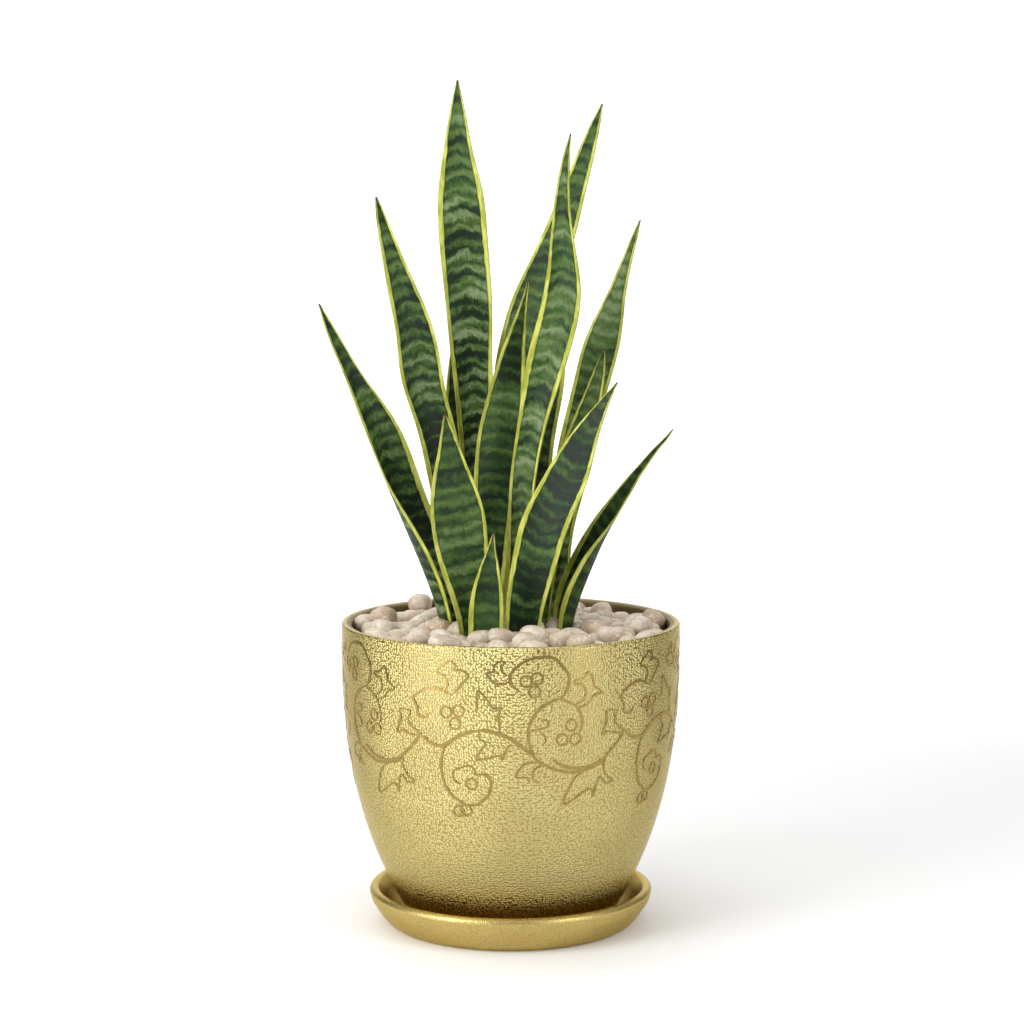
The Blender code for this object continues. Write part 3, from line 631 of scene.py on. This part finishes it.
def leaf_piece(name, leaf, number, material):
    """One blade: a closed, slightly rippled, channelled sword with a thin margin and a spike."""
    low, high = leaf["across"][0][0], leaf["across"][-1][0]
    rows = int((high - low) / RING_STEP) + 1
    z = low + (high - low) * (1 - (1 - np.linspace(0, 1, rows)) ** 1.12)
    across, back, half, turn, cup = (softened(leaf[key], z, low, high) for key in
                                     ("across", "depth", "half_width", "turn", "cup"))
    mid = np.stack([across, back, z], 1)
    turn = np.radians(turn)
    face = np.stack([np.sin(turn), -np.cos(turn), 0 * z], 1)
    side = np.stack([np.cos(turn), np.sin(turn), 0 * z], 1)
    draw = random.Random(100 + number)
    tall = (z - low) / (high - low)
    body = np.clip(half / 12.0, 0.0, 1.0)
    ripples = []
    for _ in range(2):
        phase, wave = draw.uniform(0, math.tau), draw.uniform(70, 120)
        ripples.append(0.8 * body * np.sin(math.tau * z / wave + phase) * np.minimum(1, 3 * tall))
    u = np.sin(np.linspace(-1, 1, BLADE_COLUMNS) * math.pi / 2 * 0.94) / math.sin(math.pi / 2 * 0.94)
    thick = np.minimum(LEAF_THICK, 0.3 * half)[:, None] / 2
    margin = np.minimum(MARGIN_THICK, 0.3 * half)[:, None] / 2
    bow = cup[:, None] * u[None] ** 2
    flat = half[:, None] * u[None]
    lift = half[:, None] * bow
    lift = lift + np.where(u[None] < 0, ripples[0][:, None], ripples[1][:, None]) * np.abs(u[None]) ** 3
    sheet = mid[:, None] + flat[..., None] * side[:, None] + lift[..., None] * face[:, None]
    slope = 2 * cup[:, None] * u[None]
    normal = face[:, None] - slope[..., None] * side[:, None]
    normal /= np.linalg.norm(normal, axis=2, keepdims=True)
    depth = margin + (thick - margin) * (1 - u[None] ** 2)
    inner = sheet + normal * depth[..., None]
    outer = sheet - normal * depth[..., None]
    tangent = np.gradient(mid, axis=0)
    tangent /= np.linalg.norm(tangent, axis=1, keepdims=True)
    length = np.concatenate([[0], np.cumsum(np.linalg.norm(np.diff(mid, axis=0), axis=1))])
    ring = np.concatenate([inner, outer[:, ::-1]], 1)
    reach = np.einsum("rcx,rx->rc", ring - mid[:, None], tangent)
    both = np.concatenate([u, u[::-1]])
    width = half * np.sqrt(1 + (1.2 * cup) ** 2)
    across = width[:, None] * both[None]
    arched = np.sqrt(across ** 2 + (0.25 * width[:, None]) ** 2)
    arch, foot_contrast, tip_contrast, light = LEAF_LOOKS.get(name, PLAIN_LOOKS)
    along = length[:, None] + reach + arch * arched
    edge = width[:, None] - np.abs(across)
    yellow = np.minimum(3.6, 0.5 + 0.17 * half) * (1 + 0.25 * np.sin(z / 31.0 + number))
    spike = length[-1] - length
    columns = ring.shape[1]
    points = list(ring.reshape(-1, 3) * MM)
    faces = grid_faces(rows, columns)
    faces.append(tuple(range(columns))[::-1])
    top = (rows - 1) * columns
    faces.append(tuple(range(top, top + columns)))
    attributes = {"along": along.ravel() * MM + number * 3.7,
                  "across": across.ravel() * MM,
                  "edge": edge.ravel() * MM,
                  "margin": np.repeat(yellow, columns) * MM,
                  "contrast": np.repeat(foot_contrast + (tip_contrast - foot_contrast) * tall, columns),
                  "light": np.full(rows * columns, light),
                  "tip": np.repeat(spike, columns) * MM,
                  "seed": np.full(rows * columns, number * 1.9)}
    return mesh_piece(name + "_blade", points, faces, material, replaces=[name],
                      attributes=attributes)


def build_leaves():
    material = leaf_material()
    for number, (name, leaf) in enumerate(LEAVES.items()):
        leaf_piece(name, leaf, number, material)


# -------------------- pot and saucer
AROUND = 480                     # points round the fine turned surfaces


def pot_radius(z):
    """Outer radius of the pot's belly at height z, in millimetres."""
    rise = np.clip((z - FOOT_Z) / (RIM_TOP - LIP_R - FOOT_Z), 0.0, 1.0)
    return FOOT_R + (RIM_R - FOOT_R) * (1.0 - (1.0 - rise) ** SWELL)


def arc(centre, radius, start, end, steps):
    """Points (r, z) on an arc, angles in degrees from +r towards +z."""
    angles = np.radians(np.linspace(start, end, steps + 1))
    return [(centre[0] + radius * math.cos(a), centre[1] + radius * math.sin(a)) for a in angles]


def resampled(profile, step):
    """The profile with points no more than `step` apart."""
    out = []
    for (r0, z0), (r1, z1) in zip(profile, profile[1:]):
        count = max(1, int(math.ceil(math.hypot(r1 - r0, z1 - z0) / step)))
        for i in range(count):
            out.append((r0 + (r1 - r0) * i / count, z0 + (z1 - z0) * i / count))
    return [*out, profile[-1]]


def turned_piece(name, profile, closed, material, body, node, relief_of):
    """Spin a profile (r, z) in millimetres; relief_of gives three parts from 0 to 1 for a point: how
    far the glaze is pebbled, how much of the inside's painted shade shows, how far the foot's
    painted shade counts."""
    angle = np.linspace(0, math.tau, AROUND, endpoint=False)
    r = np.array([p[0] for p in profile])
    z = np.array([p[1] for p in profile])
    poles = [i for i in range(len(r)) if r[i] < 1e-6]
    keep = [i for i in range(len(r)) if i not in poles]
    looks = np.array([relief_of(r[i], z[i], i) for i in keep])
    relief, inside, foot = looks.T
    radius = r[keep][:, None] + surface_wave(angle)[None] * relief[:, None]
    points = np.stack([radius * np.cos(angle), radius * np.sin(angle),
                       np.repeat(z[keep][:, None], AROUND, 1)], 2).reshape(-1, 3) * MM
    faces = grid_faces(len(keep), AROUND, wrap_rows=closed and not poles)
    points = list(points)
    textured = list(np.repeat(relief, AROUND))
    shaded = list(np.repeat(inside, AROUND))
    foot_shade_share = list(np.repeat(foot, AROUND))
    if poles:
        for pole, row, flip in ((poles[0], 0, True), (poles[-1], len(keep) - 1, False)):
            points.append(np.array([0.0, 0.0, z[pole] * MM]))
            for values, value in zip((textured, shaded, foot_shade_share), relief_of(0.0, z[pole], pole)):
                values.append(value)
            tip = len(points) - 1
            for j in range(AROUND):
                pair = (row * AROUND + j, row * AROUND + (j + 1) % AROUND)
                faces.append((tip, pair[1], pair[0]) if flip else (tip, pair[0], pair[1]))
    return mesh_piece(name, points, faces, material, body=body, replaces=[node],
                      attributes={"relief": textured, "inside": shaded, "foot": foot_shade_share}, sharp=50)


def surface_wave(angle):
    """Slight hand-made unevenness of the pot's wall, in millimetres."""
    return 0.35 * (0.6 * np.sin(3 * angle + 0.6) + 0.4 * np.sin(5 * angle + 2.1))


def build_pot(material):
    profile = [(RECESS_R, FOOT_Z + RECESS_H), (RECESS_R + 0.8, FOOT_Z + 1.2), (RECESS_R + 2.0, FOOT_Z)]
    profile += [(FOOT_R - 2.5, FOOT_Z), (FOOT_R - 0.6, FOOT_Z + 0.8)]
    edge_z = RIM_TOP - 2.2
    low = np.linspace(FOOT_Z + 2.2, edge_z, 92)
    outside = resampled(profile, 4.0) + [(float(pot_radius(z)), float(z)) for z in low]
    lip = arc((RIM_R - 2.2, edge_z), 2.2, 15, 80, 4)
    lip += [(RIM_R - 3.6, RIM_TOP - 0.1), (RIM_R - 5.0, RIM_TOP - 0.5)]
    lip += arc((RIM_R - WALL + 2.6, RIM_TOP - 3.6), 2.6, 80, 175, 5)
    wall = [(float(pot_radius(z)) - WALL, float(z))
            for z in np.linspace(RIM_TOP - LIP_R - 1.5, POT_FLOOR_Z + FLOOR_FILLET, 45)]
    base_r = wall[-1][0]
    corner = arc((base_r - FLOOR_FILLET, POT_FLOOR_Z + FLOOR_FILLET), FLOOR_FILLET, 0, -90, 8)[1:]
    floor = resampled([corner[-1], (DRAIN_R + 1.5, POT_FLOOR_Z), (DRAIN_R, POT_FLOOR_Z - 1.5),
                       (DRAIN_R, FOOT_Z + RECESS_H + 0.8), (DRAIN_R + 0.8, FOOT_Z + RECESS_H),
                       (RECESS_R, FOOT_Z + RECESS_H)], 6.0)[1:-1]
    rows = outside + lip + wall + corner + floor

    def looks(r, z, i):
        past = i - len(outside)
        relief = np.clip((z - FOOT_Z) / 3.0, 0.0, 1.0) if past < 0 else max(0.0, 1.0 - past / 8.0)
        # the last two parts are painted shade: on the inside of the lip and wall, and at the foot
        return float(relief), float(np.clip((past - 4) / 3.0, 0.0, 1.0)), 1.0

    turned_piece("pot_body", rows, True, material, "planter", "pot", looks)


def build_saucer(material):
    lip = arc((SAUCER_LIP_R - 4.5, SAUCER_H - 4.5), 4.5, -25, 155, 12)
    outside = [(0.0, 1.2), (SAUCER_BASE_R - 12.0, 1.2), (SAUCER_BASE_R - 9.0, 0.0),
               (SAUCER_BASE_R - 0.5, 0.0), (SAUCER_BASE_R + 1.4, 0.5), (109.0, 2.0), (111.9, 4.0),
               (114.5, 7.0), (117.7, 11.0), (120.4, 15.0), (122.8, 18.8), (124.6, 22.0)]
    inside = [(114.6, 26.5), (110.0, 19.0), (105.5, 13.6), (101.0, 10.2), (SAUCER_FLOOR_R, SAUCER_FLOOR),
              (60.0, SAUCER_FLOOR), (0.0, SAUCER_FLOOR)]
    rows = resampled(outside, 3.0) + lip + resampled(inside, 4.0)
    count = len(resampled(outside, 3.0))

    def looks(r, z, i):
        return (float(0.5 * np.clip(z / 4.0, 0.0, 1.0)) if i < count + 8 else 0.3), 0.0, 0.0

    turned_piece("saucer_dish", rows, False, material, "saucer", "saucer", looks)


# -------------------- scroll on the pot
SCROLL_REPEATS = 5
SCROLL_R = 148.0                 # radius at which distances round the pot are measured
SCROLL_START = 47.0              # first repeat's centre, from the front towards +X
SCROLL_HEIGHT = 0.4

# Lines of one repeat: (width, points (distance round the pot, height)), all in millimetres.  They
# follow the photo's own vine; other lines here would make it a generic one.
SCROLL_LINES = (
    # big curl over the fruit, with its two arms
    (2.6, ((-40, 235), (-46, 240), (-47, 248), (-42, 255), (-33, 261), (-23, 263), (-14, 263),
           (-8, 260), (-3, 254), (2, 247), (2, 239), (-2, 230), (-7, 227))),
    (2.6, ((-7, 227), (-18, 223), (-26, 215), (-31, 206), (-32, 197), (-30, 186), (-25, 176),
           (-18, 171), (-7, 166), (5, 163), (18, 164), (31, 167), (38, 170))),
    (2.4, ((-7, 227), (-2, 226), (8, 221), (13, 214), (15, 206), (13, 198))),
    # vine
    (3.2, ((-75, 201), (-64, 200), (-53, 197), (-44, 192), (-36, 186), (-27, 179))),
    (3.0, ((-11, 175), (2, 168), (18, 166), (33, 170), (45, 179), (54, 188), (59, 195))),
    (3.2, ((59, 195), (68, 188), (78, 186), (85, 188), (96, 196), (107, 200), (112, 201))),
    # spiral under the vine
    (2.6, ((94, 196), (85, 189), (80, 180), (78, 168), (79, 158), (83, 147), (92, 139), (101, 135),
           (111, 137), (119, 144), (122, 152), (121, 160), (115, 163), (109, 162))),
    (2.0, ((109, 162), (107, 168), (102, 170), (94, 167), (89, 164), (89, 157), (95, 153))),
    # tulips
    (2.0, ((8, 221), (16, 226), (18, 232), (15, 238), (9, 239), (8, 242), (15, 243), (20, 248),
           (24, 244), (25, 237), (29, 234), (33, 230), (26, 228), (19, 221), (12, 219))),
    (2.0, ((-47, 248), (-51, 249), (-54, 252), (-54, 257), (-51, 259), (-54, 260), (-58, 259),
           (-61, 254), (-60, 251), (-64, 251), (-67, 249), (-66, 248), (-63, 244), (-58, 241),
           (-53, 241), (-48, 243), (-47, 247))),
    (2.0, ((82, 232), (86, 239), (83, 246), (77, 248), (78, 252), (88, 259), (93, 255), (90, 251),
           (97, 252), (104, 247), (99, 241), (94, 235), (89, 230))),
    (2.4, ((89, 230), (76, 235), (64, 233), (56, 228), (53, 224), (57, 217), (57, 211), (64, 209),
           (69, 214))),
    # small flowers
    (1.8, ((-32, 199), (-25, 202), (-18, 203), (-15, 206), (-17, 210), (-22, 210))),
    (1.8, ((-23, 201), (-18, 196), (-17, 191), (-20, 189))),
    # leaves
    (2.0, ((-79, 217), (-75, 219), (-75, 228), (-74, 235), (-67, 228), (-61, 220), (-54, 221),
           (-55, 220), (-57, 213), (-56, 206), (-56, 200))),
    (2.0, ((-74, 200), (-73, 194), (-68, 190), (-72, 184), (-76, 176), (-67, 177), (-56, 180),
           (-54, 176), (-51, 184), (-46, 190))),
    (2.0, ((50, 213), (39, 214), (39, 205), (34, 195), (36, 193), (40, 196), (46, 194), (54, 193),
           (59, 195), (52, 199), (47, 205), (50, 213))),
    (2.0, ((41, 176), (38, 165), (43, 156), (50, 152), (42, 150), (36, 156), (32, 151), (30, 140),
           (25, 147), (2, 135), (5, 149), (13, 160), (32, 170))),
    # curls under the big curl
    (2.0, ((-20, 171), (-27, 167), (-28, 163), (-27, 158), (-22, 155))),
    (2.0, ((-25, 173), (-34, 173), (-39, 168), (-42, 161), (-32, 160), (-31, 155))),
)

# Berries of one repeat: (distance round the pot, height)
SCROLL_BERRIES = ((5, 204), (-3, 192), (9, 192), (-34, 243), (-25, 245), (-27, 234), (84, 215),
                  (95, 217), (92, 206), (105, 154), (92, 129), (99, 130))
BERRY_R = 4.8


def ribbon(line, width, closed=False):
    """Points and faces of one raised line on the pot's wall; `line` is (distance, height)."""
    line = np.array(line)
    if closed:
        ahead = np.roll(line, -1, 0) - np.roll(line, 1, 0)
        taper = np.ones(len(line))
    else:
        ahead = np.gradient(line, axis=0)
        run = np.concatenate([[0], np.cumsum(np.linalg.norm(np.diff(line, axis=0), axis=1))])
        ends = np.minimum(run, run[-1] - run)
        taper = 0.35 + 0.65 * np.sqrt(np.clip(ends / 9.0, 0, 1))
    ahead /= np.linalg.norm(ahead, axis=1, keepdims=True)
    across = np.stack([-ahead[:, 1], ahead[:, 0]], 1)
    section = ((-0.5, -0.6), (-0.44, 1.0), (0.0, 1.0), (0.44, 1.0), (0.5, -0.6))
    rings = []
    for offset, rise in section:
        place = line + across * (width * taper * offset)[:, None]
        angle = place[:, 0] / SCROLL_R
        r = pot_radius(place[:, 1]) + surface_wave(angle - math.pi / 2) + rise * SCROLL_HEIGHT
        rings.append(np.stack([r * np.sin(angle), -r * np.cos(angle), place[:, 1]], 1))
    points = np.stack(rings, 1).reshape(-1, 3) * MM
    faces = grid_faces(len(line), len(section), wrap_rows=closed)
    if not closed:
        last = (len(line) - 1) * len(section)
        faces.append(tuple(range(len(section)))[::-1])
        faces.append(tuple(range(last, last + len(section))))
    return points, faces


def build_scroll(material):
    points, faces = [], []
    circle = np.linspace(0, math.tau, 14, endpoint=False)
    ring = BERRY_R * np.stack([np.cos(circle), np.sin(circle)], 1)
    for repeat in range(SCROLL_REPEATS):
        shift = np.array([SCROLL_START + repeat * math.tau * SCROLL_R / SCROLL_REPEATS, 0.0])
        lines = [(through(line, 2.4) + shift, width, False) for width, line in SCROLL_LINES]
        lines += [(ring + np.array(berry) + shift, 1.7, True) for berry in SCROLL_BERRIES]
        for line, width, closed in lines:
            p, f = ribbon(line, width, closed)
            first = len(points)
            points.extend(p)
            faces.extend(tuple(first + i for i in face) for face in f)
    mesh_piece("pot_scroll", points, faces, material, sharp=40)


# -------------------- pebbles
STONE_R = (9.3, 11.2)            # smallest and largest half breadth of a loose pebble
STONE_FLOOR = 236.5              # top of the soil
STONE_CEILING = (257.0, 269.0)   # each loose pebble has its own highest centre in this range
STONE_FALL = 0.02                # and it is this much lower for each mm towards the back
STONE_COUNT = 262
SETTLE_STEPS = 260
PERCHED_STONE = (-84.0, 104.0, 271.0, 11.5)      # x, y, z and half breadth, back left on the heap


def leaf_posts(margin):
    """Upright posts (x, y, radius) that stand for the leaves where they pass the pebbles."""
    posts = []
    for leaf in LEAVES.values():
        for z in (245.0, 265.0):
            half, cup = float(smooth(leaf["half_width"], z)), float(smooth(leaf["cup"], z))
            turn = math.radians(float(smooth(leaf["turn"], z)))
            x, y = float(smooth(leaf["across"], z)), float(smooth(leaf["depth"], z))
            for u in (-0.9, -0.45, 0.0, 0.45, 0.9):
                px = x + half * (u * math.cos(turn) + cup * u * u * math.sin(turn))
                py = y + half * (u * math.sin(turn) - cup * u * u * math.cos(turn))
                posts.append((px, py, margin))
    return np.array(posts)


def settle(fixed):
    """Loose round stones dropped into the pot: pushed apart, kept in the wall, sunk to the soil."""
    draw = np.random.default_rng(5)
    count = STONE_COUNT
    radius = draw.uniform(*STONE_R, count)
    reach = (RIM_R - WALL - 12) * np.sqrt(draw.uniform(0, 1, count))
    angle = draw.uniform(0, math.tau, count)
    height = STONE_FLOOR + 10 + draw.uniform(0, 40, count)
    ceiling = draw.uniform(*STONE_CEILING, count)
    place = np.stack([reach * np.cos(angle), reach * np.sin(angle), height], 1)
    posts = leaf_posts(1.8)
    every = np.vstack([place, fixed[:, :3]])
    size = np.concatenate([radius, fixed[:, 3]])
    still = np.arange(len(every)) >= count
    for step in range(SETTLE_STEPS):
        every[~still, 2] -= 0.35
        gap = every[:, None] - every[None]
        distance = np.linalg.norm(gap, axis=2) + np.eye(len(every)) * 1e3
        overlap = np.clip((size[:, None] + size[None]) * 1.10 - distance, 0, None)
        share = np.where(still[None], 1.0, 0.5) * 0.8
        push = gap / distance[..., None] * (overlap * share)[..., None]
        move = push.sum(1) / np.maximum(1.0, (overlap > 0).sum(1)[:, None] * 0.45)
        every[~still] += move[~still]
        flat = every[:count, None, :2] - posts[None, :, :2]
        apart = np.linalg.norm(flat, axis=2) + 1e-6
        inside = np.clip(radius[:, None] * 0.92 + posts[None, :, 2] - apart, 0, None)
        nearest = inside.argmax(1)
        rows = np.arange(count)
        every[:count, :2] += (flat[rows, nearest] / apart[rows, nearest][:, None]
                              * inside[rows, nearest][:, None])
        out = np.linalg.norm(every[:count, :2], axis=1)
        limit = pot_radius(every[:count, 2]) - WALL - radius * 1.02 - 0.3
        every[:count, :2] *= np.minimum(1.0, limit / np.maximum(out, 1e-6))[:, None]
        every[:count, 2] = np.maximum(every[:count, 2], STONE_FLOOR + radius * 0.85)
        every[:count, 2] = np.minimum(every[:count, 2], ceiling - STONE_FALL * every[:count, 1])
    return every[:count], radius


def sphere_points(level):
    """Unit sphere made from a cube's faces, as (points, quads)."""
    places, faces, index = [], [], {}
    ticks = np.tan(np.linspace(-1, 1, level + 1) * math.pi / 4)
    for axis in range(3):
        for sign in (-1, 1):
            grid = []
            for a in ticks:
                row = []
                for b in ticks:
                    p = np.zeros(3)
                    p[axis], p[(axis + 1) % 3], p[(axis + 2) % 3] = sign, a, b
                    p /= np.linalg.norm(p)
                    key = tuple(np.round(p, 5))
                    if key not in index:
                        index[key] = len(places)
                        places.append(p)
                    row.append(index[key])
                grid.append(row)
            for i in range(level):
                for j in range(level):
                    quad = (grid[i][j], grid[i + 1][j], grid[i + 1][j + 1], grid[i][j + 1])
                    faces.append(quad if sign > 0 else quad[::-1])
    return np.array(places), faces


def stone_shape(draw, sphere):
    """A tumbled pebble about 1 unit in half size: rounded box with a few soft swells."""
    power = draw.uniform(2.1, 2.7)
    shape = sphere / (np.abs(sphere) ** power).sum(1, keepdims=True) ** (1 / power)
    shape = shape * (1 + draw.uniform(0.0, 0.16) * sphere[:, :1])
    for _ in range(4):
        toward = draw.normal(size=3)
        toward /= np.linalg.norm(toward)
        shape = shape * (1 + draw.uniform(-0.09, 0.05) * np.clip(sphere @ toward, 0, 1) ** 2)[:, None]
    return shape


def turned(draw, tilt):
    """A random turn about the upright with a slight random tilt."""
    yaw, pitch, roll = draw.uniform(0, math.tau), draw.normal() * tilt, draw.normal() * tilt
    cy, sy, cp, sp, cr, sr = (math.cos(yaw), math.sin(yaw), math.cos(pitch), math.sin(pitch),
                              math.cos(roll), math.sin(roll))
    upright = np.array([[cy, -sy, 0], [sy, cy, 0], [0, 0, 1]])
    lean = np.array([[cp, 0, sp], [0, 1, 0], [-sp, 0, cp]])
    bank = np.array([[1, 0, 0], [0, cr, -sr], [0, sr, cr]])
    return upright @ lean @ bank


def build_pebbles():
    own = pebble_material("pebble_stone")
    bed = pebble_material("gravel_stone")
    draw = np.random.default_rng(23)
    ball, quads = sphere_points(8)
    named = sorted(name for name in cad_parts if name.startswith("pebble_"))
    fixed = []
    for name in named:
        low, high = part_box(name)
        centre = [(a + b) / 2 / MM for a, b in zip(low, high)]
        half = [(b - a) / 2 / MM for a, b in zip(low, high)]
        fixed.append((*centre, (half[0] + half[1]) / 2))
        shape = stone_shape(draw, ball)
        span = np.abs(shape).max(0)
        points = shape / span * np.array(half)
        points[:, 2] = (points[:, 2] + half[2]) * draw.uniform(0.80, 0.95) - half[2]
        points = (points + np.array(centre)) * MM
        mesh_piece(name + "_stone", points, quads, own, replaces=[name],
                   attributes={"tint": np.full(len(ball), draw.uniform())})
    place, radius = settle(np.array([*fixed, PERCHED_STONE]))
    place = np.vstack([place, PERCHED_STONE[:3]])
    radius = np.append(radius, PERCHED_STONE[3])
    small, small_quads = sphere_points(5)
    for part, chosen, mesh, mesh_quads in (("gravel_top", place[:, 2] > 252.0, ball, quads),
                                           ("gravel_low", place[:, 2] <= 252.0, small, small_quads)):
        points, faces, tint = [], [], []
        for centre, r in zip(place[chosen], radius[chosen]):
            shape = stone_shape(draw, mesh)
            axes = r * np.array([draw.uniform(1.16, 1.42), draw.uniform(0.90, 1.02),
                                 draw.uniform(0.74, 0.88)])
            spun = (shape * axes) @ turned(draw, 0.22).T + centre
            first = len(points)
            points.extend(spun * MM)
            faces.extend(tuple(first + i for i in quad) for quad in mesh_quads)
            tint.extend([draw.uniform()] * len(mesh))
        mesh_piece(part, points, faces, bed, attributes={"tint": np.array(tint)},
                   replaces=["gravel_bed"] if part == "gravel_top" else ())


# -------------------- build
build_leaves()
build_pot(hammered_gold("gold_hammered", GOLD, cell=0.0023, depth=0.00048, roughness=0.26, coat=0.20))
build_saucer(hammered_gold("gold_saucer", SAUCER_GOLD, cell=0.0021, depth=0.00025, roughness=0.32, coat=0.15))
build_scroll(scroll_gold())
build_pebbles()

for node, material in (("potting_soil", soil_material()), ("rhizome", rhizome_material())):
    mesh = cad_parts[node].data
    mesh.materials.clear()
    mesh.materials.append(material)

build_camera()
build_stage()
build_lights()
